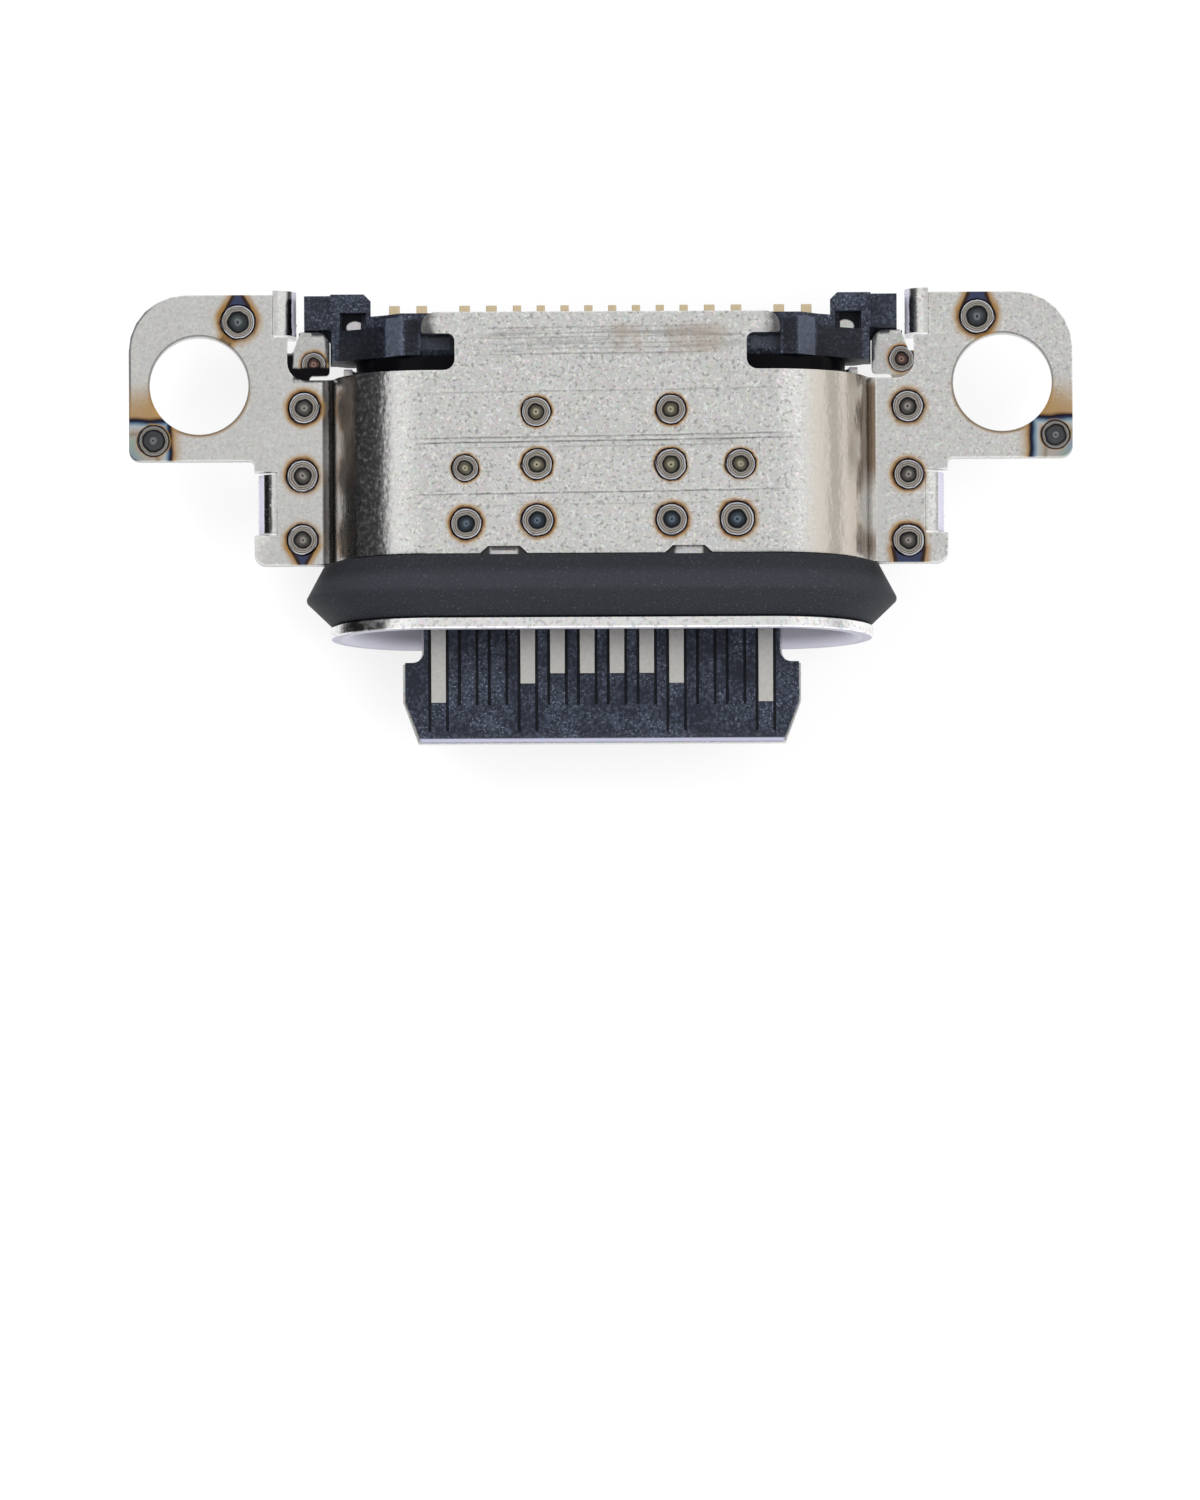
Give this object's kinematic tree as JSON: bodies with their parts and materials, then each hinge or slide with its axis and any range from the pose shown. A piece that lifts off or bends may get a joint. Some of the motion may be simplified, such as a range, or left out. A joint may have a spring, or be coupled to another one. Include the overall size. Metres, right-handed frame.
{
  "type": "charging port",
  "caption": "Sealed mid-mount charging port: drawn oval shell with a rubber lip seal, open contact tongue, moulded rear housing with solder tails, and folded screw ears on both sides.",
  "frame": {"origin": "midway between the two screw holes, on the seam between the two ear layers", "axes": "+X across the port through both screw holes, +Y towards the solder tails and away from the mouth, +Z to the side of the ears that carries the weld spots"},
  "size_m": [0.0158, 0.0077, 0.0042],
  "materials": {
    "bracket_steel": "bright plated sheet with a fine sparkle",
    "shell_steel": "satin drawn shell",
    "seal_rubber": "matt",
    "housing_plastic": "satin moulding with flow speckle",
    "tongue_plastic": "satin moulding with flow speckle",
    "plate_steel": "bright",
    "sealant": "wet gloss",
    "contact_plating": "bright plated"
  },
  "bodies": {
    "root": {"upper_bracket": "bracket_steel", "lower_bracket": "bracket_steel", "inner_shell": "shell_steel", "seal_ring": "seal_rubber", "rear_housing": "housing_plastic", "tongue_body": "tongue_plastic", "midplate": "plate_steel", "upper_ground_plate": "plate_steel", "lower_ground_plate": "plate_steel", "rear_sealant": "sealant", "contact_a1": "contact_plating", "contact_a4": "contact_plating", "contact_a5": "contact_plating", "contact_a6": "contact_plating", "contact_a7": "contact_plating", "contact_a8": "contact_plating", "contact_a9": "contact_plating", "contact_a12": "contact_plating", "contact_b12": "contact_plating", "contact_b9": "contact_plating", "contact_b8": "contact_plating", "contact_b7": "contact_plating", "contact_b6": "contact_plating", "contact_b5": "contact_plating", "contact_b4": "contact_plating", "contact_b1": "contact_plating"}
  },
  "joints": []
}
